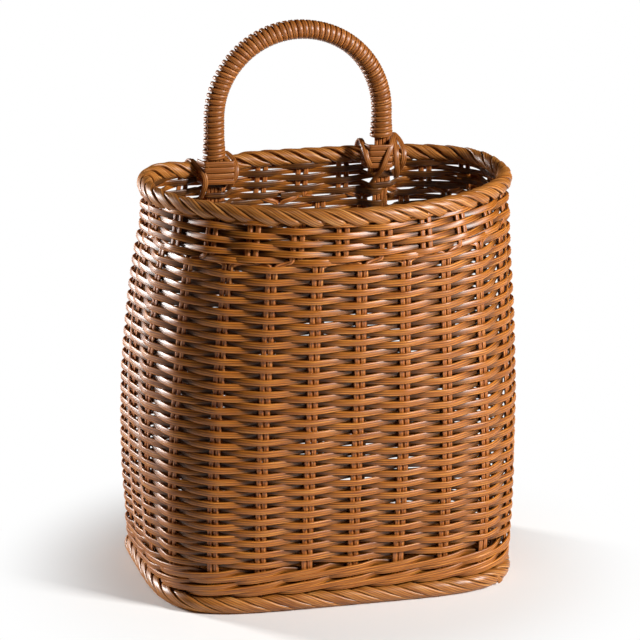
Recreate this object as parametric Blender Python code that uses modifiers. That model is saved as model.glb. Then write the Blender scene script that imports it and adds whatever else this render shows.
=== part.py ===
"""Wall basket woven from flat strips, with a fixed arched handle at its flat back.

Metres, +Z up. The flat back faces +Y and the bowed front faces -Y. The basket stands on its
foot border, and its origin is the middle of its box on that surface.

The weave is drawn simply: one turn of the side weave stands for three rows of strips, each
border is one plain ring, and the waling is a ring outside the stakes and a ring inside them.
"""
import bisect
import functools
import math

import bpy
import numpy
from mathutils import Vector

MM = 0.001

# Clearances between neighbours
SEAT_GAP = 0.3 * MM
STAKE_GAP = 0.45 * MM
ROW_GAP = 0.5 * MM
WEAVE_GAP = 1.6 * MM
EDGE_GAP = 0.7 * MM

# Heights of the parts of the wall, from the foot up
FOOT_BORDER_HEIGHT = 12 * MM
WALING_HEIGHT = 19 * MM
WEAVE_HEIGHT = 202 * MM
COLLAR_HEIGHT = 23 * MM
RIM_BORDER_HEIGHT = 12 * MM

WALING_TOP = FOOT_BORDER_HEIGHT + WALING_HEIGHT
WEAVE_TOP = WALING_TOP + WEAVE_HEIGHT
COLLAR_TOP = WEAVE_TOP + COLLAR_HEIGHT
RIM_CENTRE = COLLAR_TOP + RIM_BORDER_HEIGHT / 2
RIM_TOP = COLLAR_TOP + RIM_BORDER_HEIGHT

# Plan of the wall's middle line at four heights. Its widest line lies a back reach in front of
# the flat back, and a front reach behind the foremost point. A high power is a flat front or
# back with tight corners, and 2 is half an ellipse. The rim leans a little to the right of the
# foot, as on the basket in the photograph.
FOOT_HALF_WIDTH = 117 * MM
FOOT_BACK_REACH = 30 * MM
FOOT_FRONT_REACH = 116 * MM
FOOT_BOW_POWER = 5.2
FOOT_BACK_POWER = 4.1
MIDDLE_HALF_WIDTH = 125.5 * MM
MIDDLE_BACK_REACH = 48 * MM
MIDDLE_FRONT_REACH = 108 * MM
MIDDLE_BOW_POWER = 3.0
MIDDLE_BACK_POWER = 3.7
TOP_HALF_WIDTH = 116.5 * MM
TOP_BACK_REACH = 65 * MM
TOP_FRONT_REACH = 94 * MM
TOP_BOW_POWER = 2.4
TOP_BACK_POWER = 3.3
RIM_HALF_WIDTH = 117 * MM
RIM_BACK_REACH = 65.5 * MM
RIM_FRONT_REACH = 90 * MM
RIM_BOW_POWER = 1.85
RIM_BACK_POWER = 3.1
RIM_LEAN = 2 * MM
PLAN_STEPS = 240
TANGENT_SHARE = 0.004

# Stakes
STAKE_COUNT = 23
STAKE_WIDTH = 7 * MM
STAKE_THICKNESS = 2 * MM
STAKE_STEPS = 8
COLLAR_STEPS = 3

# Weavers
WEAVER_THICKNESS = 1.6 * MM
WEAVE_TURNS = 17
WEAVE_NODES = 6
COLLAR_THICKNESS = 2 * MM
COLLAR_TURNS = 2
WALING_THICKNESS = 2 * MM
LEAST_BAND_HEIGHT = 2 * MM
STAKE_CLEARANCE = 0.7 * MM
HOLD = STAKE_WIDTH / 2 + STAKE_CLEARANCE

# Borders
FOOT_BORDER_WIDTH = 10 * MM
RIM_BORDER_WIDTH = 11 * MM
BORDER_FLAT_SHARE = 0.27
BORDER_CHEEK_SHARE = 0.24

# Base
BASE_CENTRE = 7 * MM
BASE_STICK_COUNT = 7
BASE_STICK_WIDTH = 8 * MM
BASE_STICK_THICKNESS = 2 * MM
BASE_STICK_SPREAD_SHARE = 0.72
BASE_WEAVER_COUNT = 6
BASE_WEAVER_WIDTH = 16 * MM
BASE_WEAVER_THICKNESS = 1.6 * MM
BASE_WEAVER_SPREAD_SHARE = 0.74

# Handle, whose middle lies a little to the left of the foot's
HANDLE_MIDDLE = -1.5 * MM
HANDLE_HALF_SPAN = 57 * MM
HANDLE_RISE = 89.3 * MM
HANDLE_CORE_RADIUS = 4.5 * MM
LEG_DEPTH = 62 * MM
ARCH_STEPS = 22
WRAP_THICKNESS = 1.5 * MM
WRAP_WIDTH = 6.8 * MM
WRAP_TAIL_WIDTH = 3 * MM
WRAP_TAIL = 5 * MM
WRAP_LOOPS = 24
WRAP_LOOP_POINTS = 10
WRAP_MEASURE_STEPS = 4
GROOVE_SIDES = 16
GROOVE_OVERRUN = 2 * MM

# Lashings
LASHING_WIDTH = 4 * MM
LASHING_THICKNESS = 1.6 * MM
LASHING_SLACK = 0.65 * MM

# Places worked out from the sizes above
SPRING_LINE = RIM_CENTRE + HANDLE_RISE - HANDLE_HALF_SPAN
WRAP_START = RIM_TOP + SEAT_GAP
STRAIGHT_LENGTH = SPRING_LINE - WRAP_START
WRAP_LENGTH = 2 * STRAIGHT_LENGTH + math.pi * HANDLE_HALF_SPAN
CHORD_SHARE = 1 / math.cos(math.pi / WRAP_LOOP_POINTS)
WRAP_RADIUS = (HANDLE_CORE_RADIUS + ROW_GAP) * CHORD_SHARE + WRAP_THICKNESS / 2
LASHING_REACH = SEAT_GAP + LASHING_SLACK + LASHING_THICKNESS / 2
LASHING_NEAR = WRAP_RADIUS + WRAP_THICKNESS / 2 + LASHING_WIDTH / 2 + SEAT_GAP
LASHING_FAR = LASHING_NEAR + LASHING_WIDTH + ROW_GAP

# Colours and finishes
STAKE_COLOUR = (0.22, 0.105, 0.04, 1)
WEAVER_COLOUR = (0.36, 0.17, 0.06, 1)
COLLAR_COLOUR = (0.33, 0.155, 0.055, 1)
BORDER_COLOUR = (0.40, 0.20, 0.08, 1)
BASE_COLOUR = (0.28, 0.13, 0.05, 1)
CORE_COLOUR = (0.12, 0.055, 0.025, 1)
WRAP_COLOUR = (0.38, 0.18, 0.065, 1)
STRIP_ROUGHNESS = 0.42


def clear_scene():
    """Remove every object of the scene that the script starts in."""
    for old in list(bpy.data.objects):
        bpy.data.objects.remove(old, do_unlink=True)


def new_collection(name):
    """A collection of the scene."""
    collection = bpy.data.collections.new(name)
    bpy.context.scene.collection.children.link(collection)
    return collection


def strip_material(name, colour):
    """The satin finish of a strip."""
    material = bpy.data.materials.new(name)
    material.use_nodes = True
    shader = material.node_tree.nodes["Principled BSDF"]
    shader.inputs["Base Color"].default_value = colour
    shader.inputs["Roughness"].default_value = STRIP_ROUGHNESS
    shader.inputs["Metallic"].default_value = 0
    return material


def blend(height, foot, middle, top, rim):
    """A value at a height: a parabola through foot, middle and top, then straight to the rim."""
    if height > WEAVE_TOP:
        share = min((height - WEAVE_TOP) / (RIM_CENTRE - WEAVE_TOP), 1)
        return top + (rim - top) * share
    share = height / WEAVE_TOP
    from_foot = foot * (1 - share) * (1 - 2 * share)
    from_middle = 4 * middle * share * (1 - share)
    from_top = top * share * (2 * share - 1)
    return from_foot + from_middle + from_top


def signed_power(value, power):
    """A power that keeps the sign."""
    return math.copysign(abs(value) ** power, value)


def plan_loop(height):
    """Points of the wall's middle line, from the middle of the back round by the left."""
    half_width = blend(height, FOOT_HALF_WIDTH, MIDDLE_HALF_WIDTH, TOP_HALF_WIDTH, RIM_HALF_WIDTH)
    back_reach = blend(height, FOOT_BACK_REACH, MIDDLE_BACK_REACH, TOP_BACK_REACH, RIM_BACK_REACH)
    front_reach = blend(height, FOOT_FRONT_REACH, MIDDLE_FRONT_REACH, TOP_FRONT_REACH,
                        RIM_FRONT_REACH)
    bow_power = blend(height, FOOT_BOW_POWER, MIDDLE_BOW_POWER, TOP_BOW_POWER, RIM_BOW_POWER)
    back_power = blend(height, FOOT_BACK_POWER, MIDDLE_BACK_POWER, TOP_BACK_POWER, RIM_BACK_POWER)
    lean = RIM_LEAN * height / RIM_CENTRE
    points = []
    for step in range(PLAN_STEPS):
        angle = math.tau * step / PLAN_STEPS
        leftward, backward = math.sin(angle), math.cos(angle)
        power, reach = (back_power, back_reach) if backward >= 0 else (bow_power, front_reach)
        x = lean - half_width * signed_power(leftward, 2 / power)
        y = reach * signed_power(backward, 2 / power) - back_reach
        points.append(Vector((x, y, height)))
    return points


@functools.lru_cache(maxsize=None)
def measured_loop(height):
    """The plan at a height, with the distance along it at each point."""
    points = plan_loop(height)
    distances = [0]
    for start, end in zip(points, points[1:] + points[:1]):
        distances.append(distances[-1] + (end - start).length)
    return points + points[:1], distances


def loop_point(share, height):
    """The point of the wall's middle line at a share of the way round."""
    points, distances = measured_loop(height)
    distance = share % 1 * distances[-1]
    index = min(bisect.bisect_right(distances, distance), PLAN_STEPS) - 1
    part = (distance - distances[index]) / (distances[index + 1] - distances[index])
    return points[index].lerp(points[index + 1], part)


def wall_point(share, height, outward=0, onward=0):
    """A point beside the wall's middle line, moved outward from it and onward along it."""
    before = loop_point(share - TANGENT_SHARE, height)
    after = loop_point(share + TANGENT_SHARE, height)
    forward = (after - before).normalized()
    normal = Vector((forward.y, -forward.x, 0))
    return loop_point(share, height) + normal * outward + forward * onward


def back_wall_y(x, height):
    """How far back the wall's middle line lies at a place across the basket."""
    points = [point for point in plan_loop(height) if point.y > -TOP_BACK_REACH / 2]
    points.sort(key=lambda point: point.x)
    return numpy.interp(x, [point.x for point in points], [point.y for point in points])


def stake_share(step):
    """The share of the way round at which a stake stands."""
    return (step + 0.5) / STAKE_COUNT


def strip(name, rails, thickness, colour, closed=False):
    """A flat strip: the faces between its two edges, thickened to both sides."""
    vertices = [edge_point for pair in rails for edge_point in pair]
    faces = []
    for index in range(len(rails) if closed else len(rails) - 1):
        here = 2 * index
        there = 2 * ((index + 1) % len(rails))
        faces.append((here, there, there + 1, here + 1))
    mesh = bpy.data.meshes.new(name)
    mesh.from_pydata(vertices, [], faces)
    part = bpy.data.objects.new(name, mesh)
    PARTS.objects.link(part)
    mesh.materials.append(strip_material(name, colour))
    shell = part.modifiers.new("thickness", 'SOLIDIFY')
    shell.thickness = thickness
    shell.offset = 0
    shell.use_even_offset = True
    return part


def side_offset(thickness):
    """How far a strip's middle lies from the stakes' middle where it passes them."""
    return STAKE_THICKNESS / 2 + STAKE_GAP + thickness / 2


def band_heights(place, bottom, top, turn_height, gap):
    """The two edges of a climbing band, cut level at the bottom and the top of its weave."""
    low = bottom - turn_height + turn_height * place / STAKE_COUNT
    high = low + turn_height - gap
    return max(low, bottom), min(high, top)


def weave_rails(first, last, bottom, top, turns, gap, thickness):
    """Rails of a strip that climbs from stake to stake, outside one and inside the next."""
    turn_height = (top - bottom) / turns
    hold_steps = HOLD * STAKE_COUNT / measured_loop(WEAVE_TOP / 2)[1][-1]

    def cut_end(place, onward):
        low, high = band_heights(place, bottom, top, turn_height, gap)
        share = stake_share(place)
        return wall_point(share, low, 0, onward), wall_point(share, high, 0, onward)

    rails = [cut_end(first - 0.5, ROW_GAP)]
    for step in range(first, last):
        outward = side_offset(thickness) * (1 if step % 2 else -1)
        for hold, ahead in ((-HOLD, -hold_steps), (HOLD, hold_steps)):
            low, high = band_heights(step + ahead, bottom, top, turn_height, gap)
            share = stake_share(step)
            rails.append((wall_point(share, low, outward, hold),
                          wall_point(share, high, outward, hold)))
    rails.append(cut_end(last - 0.5, -ROW_GAP))
    return rails


def weave_steps(bottom, top, turns, gap):
    """The first and last stakes of a climbing weave, where its band is tall enough to hold."""
    turn_height = (top - bottom) / turns
    lead_in = math.ceil(STAKE_COUNT * (LEAST_BAND_HEIGHT + gap) / turn_height) + 1
    return lead_in, (turns + 1) * STAKE_COUNT - lead_in


def make_side_weavers():
    """The side weave: one climbing strip, spliced where one node ends and the next begins."""
    bottom = WALING_TOP
    first, last = weave_steps(bottom, WEAVE_TOP, WEAVE_TURNS, WEAVE_GAP)
    splices = [round(first + (last - first) * node / WEAVE_NODES) for node in range(WEAVE_NODES + 1)]
    for node in range(WEAVE_NODES):
        rails = weave_rails(splices[node], splices[node + 1], bottom, WEAVE_TOP, WEAVE_TURNS,
                            WEAVE_GAP, WEAVER_THICKNESS)
        strip(f"side_weaver_{node + 1}", rails, WEAVER_THICKNESS, WEAVER_COLOUR)


def make_collar():
    """The thicker strip under the rim border."""
    bottom = WEAVE_TOP + EDGE_GAP
    top = COLLAR_TOP - EDGE_GAP
    first, last = weave_steps(bottom, top, COLLAR_TURNS, ROW_GAP)
    rails = weave_rails(first, last, bottom, top, COLLAR_TURNS, ROW_GAP, COLLAR_THICKNESS)
    strip("collar_weaver", rails, COLLAR_THICKNESS, COLLAR_COLOUR)


def make_waling():
    """The waling's outer and inner strands, a ring on each side of the stakes."""
    for name, side in (("foot_waling_outer", 1), ("foot_waling_inner", -1)):
        outward = side * side_offset(WALING_THICKNESS)
        rails = list(zip(ring_points(FOOT_BORDER_HEIGHT + ROW_GAP, outward),
                         ring_points(WALING_TOP - ROW_GAP, outward)))
        strip(name, rails, WALING_THICKNESS, WEAVER_COLOUR, closed=True)


def make_stakes():
    """The stakes, each named for its side of the basket and numbered on from the one before."""
    counts = {"back": 0, "left": 0, "front": 0, "right": 0}
    bottom = FOOT_BORDER_HEIGHT + ROW_GAP
    top = COLLAR_TOP - ROW_GAP
    heights = [bottom + (WEAVE_TOP - bottom) * level / STAKE_STEPS
               for level in range(STAKE_STEPS + 1)]
    heights += [WEAVE_TOP + (top - WEAVE_TOP) * level / COLLAR_STEPS
                for level in range(1, COLLAR_STEPS + 1)]
    for step in range(STAKE_COUNT):
        share = stake_share(step)
        rails = [(wall_point(share, height, 0, STAKE_WIDTH / 2),
                  wall_point(share, height, 0, -STAKE_WIDTH / 2)) for height in heights]
        side = list(counts)[math.floor(share * len(counts) + 0.5) % len(counts)]
        counts[side] += 1
        strip(f"{side}_stake_{counts[side]}", rails, STAKE_THICKNESS, STAKE_COLOUR)


def border_section(width, height):
    """Half sizes of an eight-sided section, from low on the outside round over the top."""
    flat = BORDER_FLAT_SHARE * width
    cheek = BORDER_CHEEK_SHARE * height
    outer_side = [(flat, -height / 2), (width / 2, -cheek), (width / 2, cheek), (flat, height / 2)]
    inner_side = [(-across, up) for across, up in reversed(outer_side)]
    return outer_side + inner_side


def ring_points(height, outward=0):
    """The points of a ring beside the wall: two for each stake, just before and after it."""
    return [wall_point(stake_share(step), height, outward, hold)
            for step in range(STAKE_COUNT) for hold in (-HOLD, HOLD)]


def ring_inner_edge(height, inset):
    """The inner edge of a border ring, square to the ring at each of its points."""
    points = ring_points(height)
    edge = []
    for before, here, after in zip(points[-1:] + points[:-1], points, points[1:] + points[:1]):
        forward = (here - before).normalized() + (after - here).normalized()
        edge.append(here + Vector((-forward.y, forward.x, 0)).normalized() * inset)
    return edge


def make_border(name, centre, width, height):
    """A border ring: an eight-sided section swept round the wall's middle line."""
    profile = bpy.data.curves.new(name + "_profile", 'CURVE')
    profile.dimensions = '2D'
    outline = profile.splines.new('POLY')
    section = border_section(width, height)
    outline.points.add(len(section) - 1)
    for point, (across, up) in zip(outline.points, reversed(section)):
        point.co = (across, up, 0, 1)
    outline.use_cyclic_u = True
    guide = bpy.data.objects.new(name + "_profile", profile)
    guide.hide_render = True
    guide.display_type = 'WIRE'
    CUTTERS.objects.link(guide)

    path = bpy.data.curves.new(name, 'CURVE')
    path.dimensions = '3D'
    path.twist_mode = 'Z_UP'
    path.bevel_mode = 'OBJECT'
    path.bevel_object = guide
    places = ring_points(centre)
    spline = path.splines.new('POLY')
    spline.points.add(len(places) - 1)
    for point, place in zip(spline.points, places):
        point.co = (*place, 1)
    spline.use_cyclic_u = True
    ring = bpy.data.objects.new(name, path)
    PARTS.objects.link(ring)
    path.materials.append(strip_material(name, BORDER_COLOUR))
    return ring


def as_mesh(part):
    """Swap a curve object for the mesh that it draws, under the same name."""
    name = part.name
    bpy.context.view_layer.update()
    evaluated = part.evaluated_get(bpy.context.evaluated_depsgraph_get())
    mesh = bpy.data.meshes.new_from_object(evaluated)
    solid = bpy.data.objects.new(name, mesh)
    solid.matrix_world = part.matrix_world.copy()
    curve = part.data
    bpy.data.objects.remove(part, do_unlink=True)
    bpy.data.curves.remove(curve)
    solid.name = name
    PARTS.objects.link(solid)
    return solid


def leg_places():
    """Where the left leg and the right leg stand across the basket."""
    return HANDLE_MIDDLE - HANDLE_HALF_SPAN, HANDLE_MIDDLE + HANDLE_HALF_SPAN


def leg_y():
    """The legs' place: inside the collar, the side weave and the rim, and against them."""
    outer_edge = HANDLE_MIDDLE - HANDLE_HALF_SPAN - HANDLE_CORE_RADIUS
    wall_ys = [back_wall_y(outer_edge, height)
               for height in (RIM_TOP - LEG_DEPTH, WEAVE_TOP, COLLAR_TOP, RIM_CENTRE)]
    strip_depth = STAKE_THICKNESS / 2 + STAKE_GAP + COLLAR_THICKNESS
    return min(wall_ys) - strip_depth - SEAT_GAP - HANDLE_CORE_RADIUS


def handle_frame(along):
    """The handle's middle line, from the foot of the wrap on the left, and the way inward."""
    left, right = leg_places()
    if along < STRAIGHT_LENGTH:
        return Vector((left, LEG_Y, WRAP_START + along)), Vector((1, 0, 0))
    angle = (along - STRAIGHT_LENGTH) / HANDLE_HALF_SPAN
    if angle > math.pi:
        rest = WRAP_LENGTH - along
        return Vector((right, LEG_Y, WRAP_START + rest)), Vector((-1, 0, 0))
    inward = Vector((math.cos(angle), 0, -math.sin(angle)))
    return Vector((HANDLE_MIDDLE, LEG_Y, SPRING_LINE)) - inward * HANDLE_HALF_SPAN, inward


def make_handle_core():
    """The core: an arch whose two legs run down inside the back wall."""
    path = bpy.data.curves.new("handle_core", 'CURVE')
    path.dimensions = '3D'
    path.bevel_depth = HANDLE_CORE_RADIUS
    path.bevel_resolution = 2
    path.use_fill_caps = True
    leg_foot = RIM_TOP - LEG_DEPTH
    left, right = leg_places()
    places = [Vector((left, LEG_Y, leg_foot))]
    for step in range(ARCH_STEPS + 1):
        along = STRAIGHT_LENGTH + math.pi * HANDLE_HALF_SPAN * step / ARCH_STEPS
        places.append(handle_frame(along)[0])
    places.append(Vector((right, LEG_Y, leg_foot)))
    spline = path.splines.new('POLY')
    spline.points.add(len(places) - 1)
    for point, place in zip(spline.points, places):
        point.co = (*place, 1)
    core = bpy.data.objects.new("handle_core", path)
    PARTS.objects.link(core)
    path.materials.append(strip_material("handle_core", CORE_COLOUR))


def wrap_track():
    """The wrap laid flat: places around and along the handle, with the strip's half width."""
    girth = math.tau * WRAP_RADIUS
    rise = WRAP_LENGTH - 2 * WRAP_TAIL
    count = WRAP_LOOPS * WRAP_LOOP_POINTS
    track = [(0, 0, WRAP_TAIL_WIDTH / 2)]
    for index in range(count + 1):
        turns = index / WRAP_LOOP_POINTS
        nearest_end = min(index, count - index) / (WRAP_LOOP_POINTS / 2)
        half_width = WRAP_TAIL_WIDTH / 2
        half_width += (WRAP_WIDTH - WRAP_TAIL_WIDTH) / 2 * min(nearest_end, 1)
        track.append((girth * turns, WRAP_TAIL + rise * turns / WRAP_LOOPS, half_width))
    track.append((girth * WRAP_LOOPS, WRAP_LENGTH, WRAP_TAIL_WIDTH / 2))
    return track


def mitred_edges(track):
    """The two edges of a flat track, square to it, and mitred where it turns."""
    edges = []
    for index, (around, along, half_width) in enumerate(track):
        here = Vector((around, along))
        before = Vector(track[max(index - 1, 0)][:2])
        after = Vector(track[min(index + 1, len(track) - 1)][:2])
        ways = [way.normalized() for way in (here - before, after - here) if way.length > 0]
        middle_way = sum(ways, Vector((0, 0))).normalized()
        aside = Vector((middle_way.y, -middle_way.x)) * half_width / middle_way.dot(ways[0])
        edges.append((here + aside, here - aside))
    return edges


def on_handle(place):
    """A place of the flat track, laid on the handle."""
    around, along = place
    centre, inward = handle_frame(along)
    angle = around / WRAP_RADIUS
    return centre + WRAP_RADIUS * (inward * math.cos(angle) + Vector((0, math.sin(angle), 0)))


def least_gap(rails):
    """The least distance between the wrap's two edges, half a loop or more apart."""
    lower, upper = [], []
    for (low, high), (next_low, next_high) in zip(rails, rails[1:]):
        for part in range(WRAP_MEASURE_STEPS):
            lower.append(low.lerp(next_low, part / WRAP_MEASURE_STEPS))
            upper.append(high.lerp(next_high, part / WRAP_MEASURE_STEPS))
    lower, upper = numpy.array(lower), numpy.array(upper)
    far = WRAP_MEASURE_STEPS * WRAP_LOOP_POINTS // 2
    places = numpy.arange(len(lower))
    gaps = numpy.linalg.norm(upper[:, None, :] - lower[None, :, :], axis=2)
    gaps[abs(places[:, None] - places[None, :]) < far] = numpy.inf
    return gaps.min()


def make_handle_wrap():
    """The wrap: one strip wound round the core, with narrow ends square to the rim."""
    rails = [(on_handle(low), on_handle(high)) for low, high in mitred_edges(wrap_track())]
    strip("handle_wrap", rails, WRAP_THICKNESS, WRAP_COLOUR)
    print(f"handle_wrap: least gap to itself {least_gap(rails) / MM:.2f} mm")


def cut_leg_grooves(border):
    """Hollow the rim border's inner side where the two legs pass it."""
    radius = (HANDLE_CORE_RADIUS + SEAT_GAP) / math.cos(math.pi / GROOVE_SIDES)
    for side, x in zip(("left", "right"), leg_places()):
        bpy.ops.mesh.primitive_cylinder_add(
            vertices=GROOVE_SIDES, radius=radius, location=(x, LEG_Y, RIM_CENTRE),
            depth=RIM_BORDER_HEIGHT + 2 * GROOVE_OVERRUN)
        cutter = bpy.context.object
        cutter.name = f"{side}_leg_groove"
        cutter.hide_render = True
        cutter.display_type = 'WIRE'
        for holder in list(cutter.users_collection):
            holder.objects.unlink(cutter)
        CUTTERS.objects.link(cutter)
        cut = border.modifiers.new(cutter.name, 'BOOLEAN')
        cut.operation = 'DIFFERENCE'
        cut.solver = 'EXACT'
        cut.object = cutter


def lashing_rails(x):
    """Rails of one strip hooked over the rim border, from its outer side to its inner side."""
    width = RIM_BORDER_WIDTH + 2 * LASHING_REACH
    height = RIM_BORDER_HEIGHT + 2 * LASHING_REACH
    outer_foot, *over, inner_foot = border_section(width, height)
    path = [(width / 2, outer_foot[1])] + over + [(-width / 2, inner_foot[1])]
    centre_y = back_wall_y(x, RIM_CENTRE)
    rails = []
    for across, up in path:
        y = centre_y + across
        z = max(RIM_CENTRE + up, COLLAR_TOP)
        rails.append((Vector((x + LASHING_WIDTH / 2, y, z)), Vector((x - LASHING_WIDTH / 2, y, z))))
    return rails


def make_lashings():
    """The strips that hold the two legs to the rim border."""
    left, right = leg_places()
    left_places = [left - LASHING_NEAR, left + LASHING_NEAR]
    right_places = [right - LASHING_NEAR, right + LASHING_NEAR, right + LASHING_FAR]
    for side, places in (("left", left_places), ("right", right_places)):
        for number, x in enumerate(places, 1):
            strip(f"{side}_lashing_{number}", lashing_rails(x), LASHING_THICKNESS, WRAP_COLOUR)


def base_limits(place, half_strip, axis):
    """The free length across the foot border for a base strip: its two ends on one axis."""
    inset = FOOT_BORDER_WIDTH / 2 + ROW_GAP
    loop = ring_inner_edge(FOOT_BORDER_HEIGHT / 2, inset)
    other = 1 - axis
    lows, highs = [], []
    for edge in (place - half_strip, place + half_strip):
        crossings = []
        for start, end in zip(loop, loop[1:] + loop[:1]):
            if (start[other] - edge) * (end[other] - edge) < 0:
                part = (edge - start[other]) / (end[other] - start[other])
                crossings.append(start.lerp(end, part)[axis])
        lows.append(min(crossings))
        highs.append(max(crossings))
    return max(lows), min(highs)


def spread(count, low, high, share):
    """Even places over the middle share of a span."""
    middle, reach = (low + high) / 2, (high - low) / 2 * share
    return [middle + reach * (2 * index / (count - 1) - 1) for index in range(count)]


def make_base():
    """The floor: sticks from front to back, and weavers over and under them."""
    front, back = base_limits(0, BASE_STICK_WIDTH / 2, 1)
    stick_xs = spread(BASE_STICK_COUNT, -FOOT_HALF_WIDTH, FOOT_HALF_WIDTH, BASE_STICK_SPREAD_SHARE)
    weaver_ys = spread(BASE_WEAVER_COUNT, front, back, BASE_WEAVER_SPREAD_SHARE)
    for number, x in enumerate(stick_xs, 1):
        rails = [(Vector((x + BASE_STICK_WIDTH / 2, y, BASE_CENTRE)),
                  Vector((x - BASE_STICK_WIDTH / 2, y, BASE_CENTRE)))
                 for y in base_limits(x, BASE_STICK_WIDTH / 2, 1)]
        strip(f"base_stick_{number}", rails, BASE_STICK_THICKNESS, BASE_COLOUR)

    rise = BASE_STICK_THICKNESS / 2 + SEAT_GAP + BASE_WEAVER_THICKNESS / 2
    hold = BASE_STICK_WIDTH / 2 + STAKE_CLEARANCE
    for row, y in enumerate(weaver_ys):
        low_x, high_x = base_limits(y, BASE_WEAVER_WIDTH / 2, 0)
        places = [(low_x, 0)]
        for column, x in enumerate(stick_xs):
            lift = rise if (row + column) % 2 else -rise
            places += [(x - hold, lift), (x + hold, lift)]
        places.append((high_x, 0))
        rails = [(Vector((x, y - BASE_WEAVER_WIDTH / 2, BASE_CENTRE + lift)),
                  Vector((x, y + BASE_WEAVER_WIDTH / 2, BASE_CENTRE + lift)))
                 for x, lift in places]
        strip(f"base_weaver_{row + 1}", rails, BASE_WEAVER_THICKNESS, BASE_COLOUR)


def settle_on_origin():
    """Move everything so that the origin is the middle of the basket's box on its foot."""
    bpy.context.view_layer.update()
    depsgraph = bpy.context.evaluated_depsgraph_get()
    corners = []
    for part in PARTS.objects:
        evaluated = part.evaluated_get(depsgraph)
        mesh = evaluated.to_mesh()
        corners += [part.matrix_world @ vertex.co for vertex in mesh.vertices]
        evaluated.to_mesh_clear()
    corners = numpy.array(corners)
    low, high = corners.min(axis=0), corners.max(axis=0)
    shift = Vector(((low[0] + high[0]) / 2, (low[1] + high[1]) / 2, low[2]))
    for part in list(PARTS.objects) + list(CUTTERS.objects):
        part.location -= shift
    bpy.context.view_layer.update()


clear_scene()
PARTS = new_collection("wall_basket")
CUTTERS = new_collection("cutters_and_guides")
LEG_Y = leg_y()
make_border("foot_border", FOOT_BORDER_HEIGHT / 2, FOOT_BORDER_WIDTH, FOOT_BORDER_HEIGHT)
make_base()
make_waling()
make_stakes()
make_side_weavers()
make_collar()
rim_border = as_mesh(make_border("rim_border", RIM_CENTRE, RIM_BORDER_WIDTH, RIM_BORDER_HEIGHT))
cut_leg_grooves(rim_border)
make_handle_core()
make_handle_wrap()
make_lashings()
settle_on_origin()
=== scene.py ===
"""Looks of the woven wall basket: every strip of its weave, borders, base and handle.

Metres, +Z up, in the model's own frame: the flat back faces +Y and the bowed front -Y.
Each strip is a path of points with two half-size vectors, and one Geometry Nodes tree turns
such paths into ribbed strips. A share of the way round the wall starts at the middle of the
back and runs by the left end, the front and the right end.
"""

import math

import bmesh
import bpy
import numpy as np
from mathutils import Matrix, Vector


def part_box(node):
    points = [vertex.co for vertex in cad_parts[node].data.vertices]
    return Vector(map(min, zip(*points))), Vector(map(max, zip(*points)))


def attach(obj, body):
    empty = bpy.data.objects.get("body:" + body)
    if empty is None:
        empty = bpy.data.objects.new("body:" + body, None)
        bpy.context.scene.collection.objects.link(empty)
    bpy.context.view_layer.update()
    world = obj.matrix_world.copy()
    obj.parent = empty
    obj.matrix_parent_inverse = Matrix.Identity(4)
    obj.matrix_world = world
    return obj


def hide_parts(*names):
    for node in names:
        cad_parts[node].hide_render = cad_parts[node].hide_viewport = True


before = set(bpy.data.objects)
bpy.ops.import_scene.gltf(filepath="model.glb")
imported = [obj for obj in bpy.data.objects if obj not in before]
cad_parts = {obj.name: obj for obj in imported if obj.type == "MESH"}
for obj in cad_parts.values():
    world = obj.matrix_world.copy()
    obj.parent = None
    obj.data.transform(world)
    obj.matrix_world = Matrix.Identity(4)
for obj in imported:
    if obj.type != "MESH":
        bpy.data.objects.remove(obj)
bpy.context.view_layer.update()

MM = 0.001
UPWARD = np.array([0, 0, 1.0])
BACKWARD = np.array([0, 1.0, 0])
MATH = "ShaderNodeMath"

# Heights of the parts of the wall, from the foot up
FOOT_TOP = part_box("foot_border")[1].z
WEAVE_TOP = 233 * MM
RIM_NEAR, RIM_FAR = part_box("rim_border")
RIM_TOP = RIM_FAR.z
RIM_CENTRE = (RIM_NEAR.z + RIM_TOP) / 2

# Plan of the wall's middle line at the foot, half way up, at the weave's top and at the rim
HALF_WIDTHS = (117 * MM, 125.5 * MM, 116.5 * MM, 117 * MM)
BACK_REACHES = (30 * MM, 48 * MM, 65 * MM, 65.5 * MM)
FRONT_REACHES = (116 * MM, 108 * MM, 94 * MM, 90 * MM)
BOW_POWERS = (5.2, 3.0, 2.4, 1.85)
BACK_POWERS = (4.1, 3.7, 3.3, 3.1)
RIM_LEAN = 2 * MM
COLLAR_LEAN = 2 * MM
COLLAR_LEAN_LOW = 215 * MM
COLLAR_LEAN_SPAN = 45 * MM
RIM_BORDER_WIDTH = 11 * MM
FOOT_X = (RIM_NEAR.x + RIM_FAR.x) / 2 - RIM_LEAN
BACK_Y = RIM_FAR.y - RIM_BORDER_WIDTH / 2

# Stakes: pairs of strips, with their heights closer together where the two part. Here and below,
# a strip's half sizes are half its width and half its thickness
STAKE_COUNT = 23
STAKE_HALF_SIZES = (1.9 * MM, 0.9 * MM)
STAKE_HEIGHTS = np.concatenate([np.linspace(13 * MM, 229 * MM, 36),
                                np.linspace(230 * MM, 242 * MM, 20),
                                np.linspace(243 * MM, 260 * MM, 8)])
PAIR_REACH = 1.95 * MM
COLLAR_PAIR_REACH = 2.6 * MM
PARTING_HEIGHT = 231.5 * MM
PARTING_SPAN = 4.5 * MM
PARTING_SINK = 1.2 * MM

# Steps in which the wall's plan is worked out
PLAN_STEPS = 960
LEVEL_STEP = 2 * MM
LEVEL_COUNT = 137
TANGENT_SHARE = 0.004
COLUMNS = 40 * STAKE_COUNT

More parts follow.
